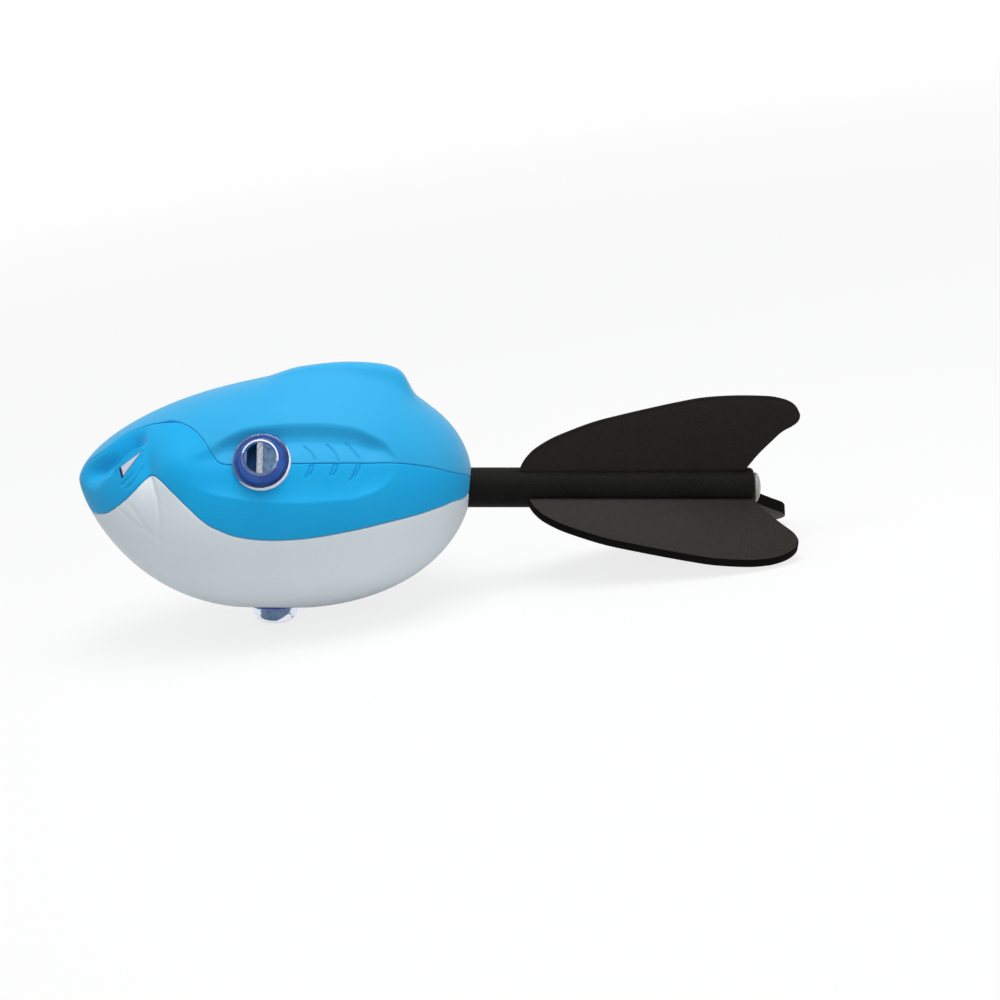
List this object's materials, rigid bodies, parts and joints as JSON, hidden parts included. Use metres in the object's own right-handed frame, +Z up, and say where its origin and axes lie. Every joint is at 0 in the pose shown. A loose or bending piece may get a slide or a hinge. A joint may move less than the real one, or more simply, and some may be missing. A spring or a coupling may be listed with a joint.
{
  "type": "vortex throwing toy",
  "caption": "Foam throwing toy: a shark-shaped head with whistles set in its sides and belly, on a stiffened foam tail with fins; it rests on the belly whistle and the lower fins.",
  "frame": {"origin": "on the ground, under the middle of the resting toy's box", "axes": "+X from the nose towards the tail fins, +Z up with the dorsal fin on top, the toy's left side faces -Y; at rest the tail slopes down 9.5 degrees"},
  "size_m": [0.2802, 0.0912, 0.1014],
  "materials": {
    "blue_foam": "moulded foam skin, satin",
    "white_foam": "moulded foam skin, satin",
    "black_foam": "matt foam tube",
    "fin_foam": "matt cut sheet foam, speckled",
    "clear_plastic": "clear, polished",
    "deep_blue_plastic": "gloss",
    "slate_plastic": "gloss",
    "grey_plastic": "satin"
  },
  "bodies": {
    "root": {"head_crown": "blue_foam", "head_cheeks": "blue_foam", "head_belly": "white_foam", "tail_sleeve": "black_foam", "tail_core": "grey_plastic", "tail_plug": "grey_plastic", "fin_upper": "fin_foam", "fin_left": "fin_foam", "fin_right": "fin_foam", "whistle_left_dome": "clear_plastic", "whistle_left_cup": "deep_blue_plastic", "whistle_left_mouth": "slate_plastic", "whistle_right_dome": "clear_plastic", "whistle_right_cup": "deep_blue_plastic", "whistle_right_mouth": "slate_plastic", "whistle_belly_dome": "clear_plastic", "whistle_belly_cup": "deep_blue_plastic", "whistle_belly_mouth": "slate_plastic"}
  },
  "joints": []
}
